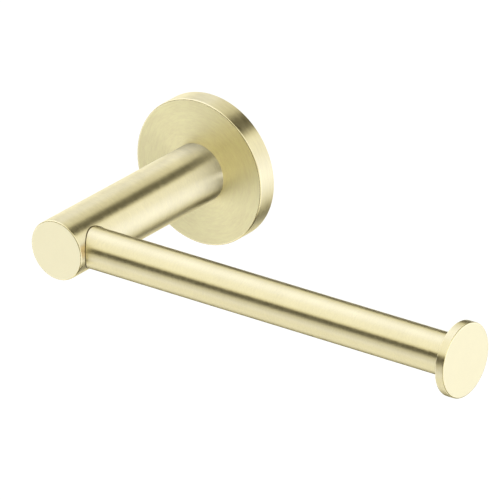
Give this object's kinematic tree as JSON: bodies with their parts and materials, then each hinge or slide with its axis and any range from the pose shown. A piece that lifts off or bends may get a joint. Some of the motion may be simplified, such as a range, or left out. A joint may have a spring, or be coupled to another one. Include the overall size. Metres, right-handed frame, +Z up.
{
  "type": "toilet paper holder",
  "caption": "Wall-mounted toilet roll holder: a round rose, a straight post and a sideways tubular arm with an end disc.",
  "frame": {"origin": "centre of the mounting face, on the post's axis, in the plane of the wall", "axes": "+Z up, +Y into the wall, +X along the arm towards the end disc; the post stands out of the wall along -Y"},
  "size_m": [0.1757, 0.0842, 0.05],
  "materials": {
    "brushed_gold": "fine brushed, light gold",
    "bracket_steel": "turned stainless steel",
    "fastener_steel": "bright zinc plated",
    "plain_brass": "as turned"
  },
  "bodies": {
    "root": {"rose": "brushed_gold", "post": "brushed_gold", "arm_tube": "brushed_gold", "end_disc": "brushed_gold", "wall_bracket": "bracket_steel", "rose_set_screw": "fastener_steel", "post_screw": "fastener_steel", "post_washer": "fastener_steel", "post_dowel": "fastener_steel", "tie_rod": "fastener_steel", "arm_bush": "plain_brass"}
  },
  "joints": []
}
